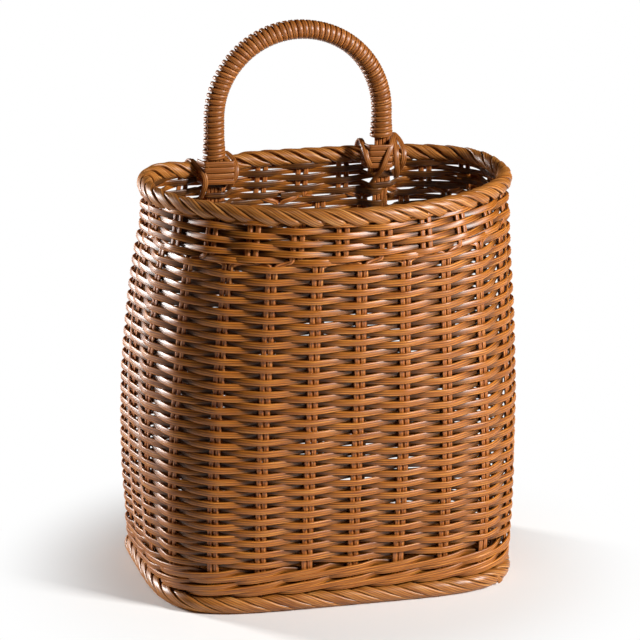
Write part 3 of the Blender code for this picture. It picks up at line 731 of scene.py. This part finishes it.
def rolled_strands(centre, section, course, half_width, start=0.0, sunk=0.0):
    """Slanting strands of a border rolled round a ring, two for each stake. They lie sunk
    deeper than their course says, and start a share of a strand further on."""
    half_across, half_up = section
    places = round_curve(course, STRAND_STEPS)
    angle, run, sink = np.radians(places[:, 0]), places[:, 1] * MM, places[:, 2] * MM + sunk
    across = ((half_across - sink) * np.cos(angle))[:, None]
    up = ((half_up - sink) * np.sin(angle))[:, None]
    taper = np.interp(np.linspace(0, 1, STRAND_STEPS), *STRAND_TAPER)
    count = 2 * STAKE_COUNT
    strands = []
    for number in range(count):
        share = (number + start) / count + run / girth(centre)
        middle, face = wall(share, np.full(STRAND_STEPS, centre))
        face[:, 2] = 0
        face = unit(face)
        if centre == RIM_CENTRE:
            middle[:, 2] -= rim_dip(share)
        points = middle + face * across + UPWARD * up
        out = unit(face * (np.cos(angle) / half_across)[:, None]
                   + UPWARD * (np.sin(angle) / half_up)[:, None])
        strands.append(strip(points, out, half_width * taper, STRAND_HALF_THICKNESS))
    return strands


def border_layers(centre, section, course, half_widths, sunk):
    """The outer strands of a border, and inner ones that fill the gaps between them."""
    outer, inner = half_widths
    return (rolled_strands(centre, section, course, outer)
            + rolled_strands(centre, section, course, inner, start=0.5, sunk=sunk))


def make_borders():
    """The rim border and the foot border, and one strip's loose end at the foot."""
    rim = border_layers(RIM_CENTRE, RIM_SECTION, RIM_COURSE, RIM_HALF_WIDTHS, RIM_SUNK)
    make_strips("rim_border_strands", rim, BORDER, "border_strip", ["rim_border"], **BORDER_RIBS)
    foot = border_layers(FOOT_TOP / 2, FOOT_SECTION, FOOT_COURSE, FOOT_HALF_WIDTHS, FOOT_SUNK)
    face = np.tile(FOOT_END_FACE, (FOOT_END_STEPS, 1))
    foot.append(strip(round_curve(FOOT_END, FOOT_END_STEPS), face, *FOOT_END_HALF_SIZES))
    make_strips("foot_border_strands", foot, BORDER, "border_strip", ["foot_border"],
                **BORDER_RIBS)


def handle_line(along, start):
    """The handle's middle line from a height on the left leg, and the way inward from it."""
    straight = SPRING_LINE - start
    arch = math.pi * HANDLE_HALF_SPAN
    angle = np.clip((along - straight) / HANDLE_HALF_SPAN, 0, math.pi)
    inward = np.stack([np.cos(angle), 0 * angle, -np.sin(angle)], axis=1)
    centre = np.array([HANDLE_X, LEG_Y, SPRING_LINE]) - inward * HANDLE_HALF_SPAN
    centre[:, 2] -= np.maximum(straight - along, 0) + np.maximum(along - straight - arch, 0)
    return centre, inward


def make_wrap():
    """The strip wound round the arch, a little wider at the two ends."""
    length = 2 * (SPRING_LINE - WRAP_START) + math.pi * HANDLE_HALF_SPAN - RIGHT_WRAP_LIFT
    track = np.linspace(0, 1, WRAP_TURNS * WRAP_TURN_POINTS + 1)
    centre, inward = handle_line(length * track, WRAP_START)
    angle = math.tau * WRAP_TURNS * track + math.pi
    flare = WRAP_FLARE * (np.clip(1 - track / WRAP_FLARE_SHARE, 0, 1)
                          + np.clip(1 - (1 - track) / WRAP_FLARE_SHARE, 0, 1))
    out = inward * np.cos(angle)[:, None] + BACKWARD * np.sin(angle)[:, None]
    toward_ridge = out @ unit(np.array(WRAP_RIDGE_WAY))
    ridge = smooth_step((toward_ridge - WRAP_RIDGE_FROM) / WRAP_RIDGE_SPAN)
    radius = WRAP_RADIUS + flare + WRAP_RIDGE_RISE * ridge
    points = centre + out * radius[:, None]
    wrap = strip(points, out, WRAP_HALF_WIDTH - WRAP_RIDGE_NARROWS * ridge, WRAP_HALF_THICKNESS)
    make_strips("handle_wound_strip", [wrap], WRAP, "wrap_strip", ["handle_wrap"], **WRAP_RIBS)


def make_core():
    """The strips side by side in the arch and in the legs, which stand further back below the
    rim, inside the wall."""
    total = 2 * (SPRING_LINE - LEG_FOOT) + math.pi * HANDLE_HALF_SPAN
    along = np.linspace(0, total, CORE_STEPS)
    centre, inward = handle_line(along, LEG_FOOT)
    in_leg = smooth_step((RIM_TOP - centre[:, 2]) / LEG_BEND)[:, None]
    strands = []
    for number in range(CORE_STRANDS):
        aside = (number - (CORE_STRANDS - 1) / 2) * CORE_STRAND_PITCH
        points = centre + inward * aside + BACKWARD * LEG_SETBACK * in_leg
        strands.append(strip(points, -BACKWARD + 0 * centre, *CORE_HALF_SIZES))
    make_strips("handle_core_strips", strands, UPRIGHT, "handle_core", ["handle_core"],
                **CORE_RIBS)


def rim_side(points):
    """The way out of the rim border's surface at points beside the back rim."""
    middle = np.array([0, BACK_Y - 2 * MM, RIM_CENTRE])
    away = (points - middle) * np.array([0, 1, 0.7])
    return unit(away)


def tie(leg_x, places):
    """A strip tied over the rim beside a leg. Places are in mm from the leg and the rim's top."""
    points = round_curve(np.array(places) * MM, TIE_STEPS) + np.array([leg_x, LEG_Y, RIM_TOP])
    return strip(points, rim_side(points), *TIE_HALF_SIZES)


def leg_band(leg_x, left, right, height):
    """A strip that lies across the front of a leg, between two ties, in mm."""
    places = [(left, 3, height), (left + 2.5, -5.2, height), (left + 5, -7, height),
              (right - 5, -7, height - 0.3), (right - 2.5, -5.2, height - 0.4),
              (right, 3, height - 0.5)]
    points = round_curve(np.array(places) * MM, BAND_STEPS) + np.array([leg_x, LEG_Y, RIM_TOP])
    outward = points - np.array([leg_x, LEG_Y + 6 * MM, 0])
    outward[:, 2] = 0
    return strip(points, unit(outward), *BAND_HALF_SIZES)


def make_lashings():
    """The ties that hold the legs to the rim, and the strips that cross the legs between them."""
    left = [leg_band(LEFT_LEG, -11, 14, height) for height in LEFT_BANDS]
    left += [tie(LEFT_LEG, places) for places in LEFT_TIES]
    make_strips("left_leg_ties", left, WRAP, "wrap_strip", ["left_lashing_1", "left_lashing_2"])
    right = [leg_band(RIGHT_LEG, -13, 8, height) for height in RIGHT_BANDS]
    right += [tie(RIGHT_LEG, places) for places in RIGHT_TIES]
    make_strips("right_leg_ties", right, WRAP, "wrap_strip",
                ["right_lashing_1", "right_lashing_2", "right_lashing_3"])


def make_base():
    """The floor: pairs of strips from front to back, and five rows of strip for each weaver.
    The first and last weavers have two rows more, which close the floor against the wall."""
    sticks = [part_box(f"base_stick_{number}") for number in range(1, BASE_STICKS + 1)]
    stick_xs = np.array([(low.x + high.x) / 2 for low, high in sticks])
    centre_z = (sticks[0][0].z + sticks[0][1].z) / 2
    for number, (low, high) in enumerate(sticks, 1):
        y = np.linspace(low.y, high.y, BASE_STICK_STEPS)
        face = np.tile(UPWARD, (BASE_STICK_STEPS, 1))
        pair = []
        for way in (-1, 1):
            x = (low.x + high.x) / 2 + way * BASE_PAIR_REACH
            points = np.stack([np.full(BASE_STICK_STEPS, x), y,
                               np.full(BASE_STICK_STEPS, centre_z)], axis=1)
            pair.append(strip(points, face, *BASE_STICK_HALF_SIZES))
        make_strips(f"base_stick_{number}_pair", pair, UPRIGHT, "base_strip",
                    [f"base_stick_{number}"], **PAIR_RIBS)
    weavers = [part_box(f"base_weaver_{number}") for number in range(1, BASE_WEAVERS + 1)]
    weaver_ys = [(low.y + high.y) / 2 for low, high in weavers]
    pitch = (weaver_ys[-1] - weaver_ys[0]) / (BASE_ROWS * (BASE_WEAVERS - 1))
    ring = middle_line(np.arange(BASE_RING_STEPS) / BASE_RING_STEPS,
                       np.full(BASE_RING_STEPS, centre_z))
    face = np.tile(UPWARD, (BASE_ROW_STEPS, 1))
    for number, (low, high) in enumerate(weavers, 1):
        first = -BASE_EDGE_ROWS if number == 1 else 0
        past_last = BASE_ROWS + BASE_EDGE_ROWS if number == BASE_WEAVERS else BASE_ROWS
        rows = []
        for row in range(first, past_last):
            y = weaver_ys[number - 1] + (row - (BASE_ROWS - 1) / 2) * pitch
            beyond = ring[(ring[:, 1] - y) * y > 0, 0]
            x = np.linspace(max(low.x, beyond.min() + BASE_WALL_GAP),
                            min(high.x, beyond.max() - BASE_WALL_GAP), BASE_ROW_STEPS)
            place = np.interp(x, stick_xs, np.arange(BASE_STICKS),
                              left=-0.5, right=BASE_STICKS - 0.5)
            wave = over_and_under(place + row + number, BASE_SHARPNESS)
            points = np.stack([x, np.full(BASE_ROW_STEPS, y), centre_z + BASE_ROW_REACH * wave],
                              axis=1)
            rows.append(strip(points, face, *BASE_ROW_HALF_SIZES))
        make_strips(f"base_weaver_{number}_rows", rows, BODY, "base_strip",
                    [f"base_weaver_{number}"])


def make_stage():
    """A plain pale floor that fades to white away from the basket."""
    bpy.ops.mesh.primitive_circle_add(vertices=96, radius=FLOOR_RADIUS, fill_type='NGON',
                                      location=(0, 0, 0))
    floor = bpy.context.object
    floor.name = "studio_floor"

    # Matt white paper has no shine, so it shows only the basket's soft shadow
    material = bpy.data.materials.new("matt_white_paper")
    material.use_nodes = True
    tree = material.node_tree
    shader = tree.nodes["Principled BSDF"]
    shader.inputs["Base Color"].default_value = linear("#EDECEA")
    shader.inputs["Roughness"].default_value = 0.9
    place = add(tree, "ShaderNodeTexCoord").outputs["Object"]
    distance = add(tree, "ShaderNodeVectorMath", (place,), operation='LENGTH').outputs["Value"]
    far = add(tree, "ShaderNodeMapRange",
              {"Value": distance, "From Min": FADE_START, "From Max": FADE_END,
               "To Min": 0.0, "To Max": 1.0},
              interpolation_type='SMOOTHSTEP')
    seen = add(tree, "ShaderNodeLightPath").outputs["Is Camera Ray"]
    share = add(tree, MATH, (far, seen), operation='MULTIPLY')
    white = add(tree, "ShaderNodeEmission", {"Color": (1, 1, 1, 1), "Strength": 1.0})
    mixed = add(tree, "ShaderNodeMixShader", (share, shader, white))
    tree.links.new(mixed.outputs[0], tree.nodes["Material Output"].inputs["Surface"])
    floor.data.materials.append(material)


def make_world():
    """A faint light from all round, with white behind the basket for the camera."""
    world = bpy.data.worlds.new("studio")
    bpy.context.scene.world = world
    world.use_nodes = True
    tree = world.node_tree
    background = tree.nodes["Background"]
    background.inputs["Color"].default_value = linear("#FFFFFF")
    path = add(tree, "ShaderNodeLightPath").outputs
    seen = add(tree, MATH, (path["Is Camera Ray"], path["Is Transmission Ray"]),
               operation='MAXIMUM')
    strength = add(tree, MATH, (seen, 1 - AMBIENT, AMBIENT), operation='MULTIPLY_ADD')
    tree.links.new(strength.outputs[0], background.inputs["Strength"])


def toward(azimuth, elevation):
    """The way to a place at an angle from the front and from the floor, in radians."""
    return Vector((math.sin(azimuth) * math.cos(elevation),
                   -math.cos(azimuth) * math.cos(elevation), math.sin(elevation)))


def make_lamp(name, azimuth, elevation, distance, size, power):
    """A softbox that faces the basket, placed by its angles from the front and the floor."""
    lamp = bpy.data.lights.new(name, 'AREA')
    lamp.shape = 'RECTANGLE'
    lamp.size, lamp.size_y = size
    lamp.energy = power
    holder = bpy.data.objects.new(name, lamp)
    bpy.context.scene.collection.objects.link(holder)
    away = toward(math.radians(azimuth), math.radians(elevation))
    holder.location = Vector((0, 0, AIM_HEIGHT)) + away * distance
    holder.rotation_euler = away.to_track_quat('Z', 'Y').to_euler()


def make_camera():
    """The camera at the photograph's viewing angle."""
    azimuth, elevation, roll = (math.radians(angle) for angle in CAMERA_ANGLES)
    back = toward(azimuth, elevation)
    level = Vector((math.cos(azimuth), math.sin(azimuth), 0))
    upright = back.cross(level)
    right = level * math.cos(roll) + upright * math.sin(roll)
    up = upright * math.cos(roll) - level * math.sin(roll)
    data = bpy.data.cameras.new("camera")
    data.sensor_width = 36
    data.lens = FOCAL_PIXELS / PICTURE_SIZE * data.sensor_width
    data.shift_x = (PICTURE_SIZE / 2 - CENTRE_ACROSS) / PICTURE_SIZE
    data.shift_y = (CENTRE_DOWN - PICTURE_SIZE / 2) / PICTURE_SIZE
    data.clip_end = 50
    camera = bpy.data.objects.new("camera", data)
    bpy.context.scene.collection.objects.link(camera)
    aim = Vector((FOOT_X, BACK_Y - AIM_BEFORE_BACK, AIM_HEIGHT))
    turn = Matrix((right, up, back)).transposed().to_4x4()
    camera.matrix_world = Matrix.Translation(aim + back * CAMERA_DISTANCE) @ turn
    bpy.context.scene.camera = camera


make_side_weave()
make_collar()
make_stakes()
make_waling()
make_borders()
make_wrap()
make_core()
make_lashings()
make_base()

make_stage()
make_world()
make_lamp("softbox_right", azimuth=48, elevation=27, distance=1.9, size=(0.35, 0.35), power=57)
make_lamp("softbox_left", azimuth=-134, elevation=10, distance=1.7, size=(0.3, 0.5), power=38)
make_lamp("softbox_top", azimuth=-30, elevation=66, distance=1.6, size=(0.5, 0.4), power=1.5)
make_camera()
bpy.context.scene.view_settings.view_transform = 'Standard'
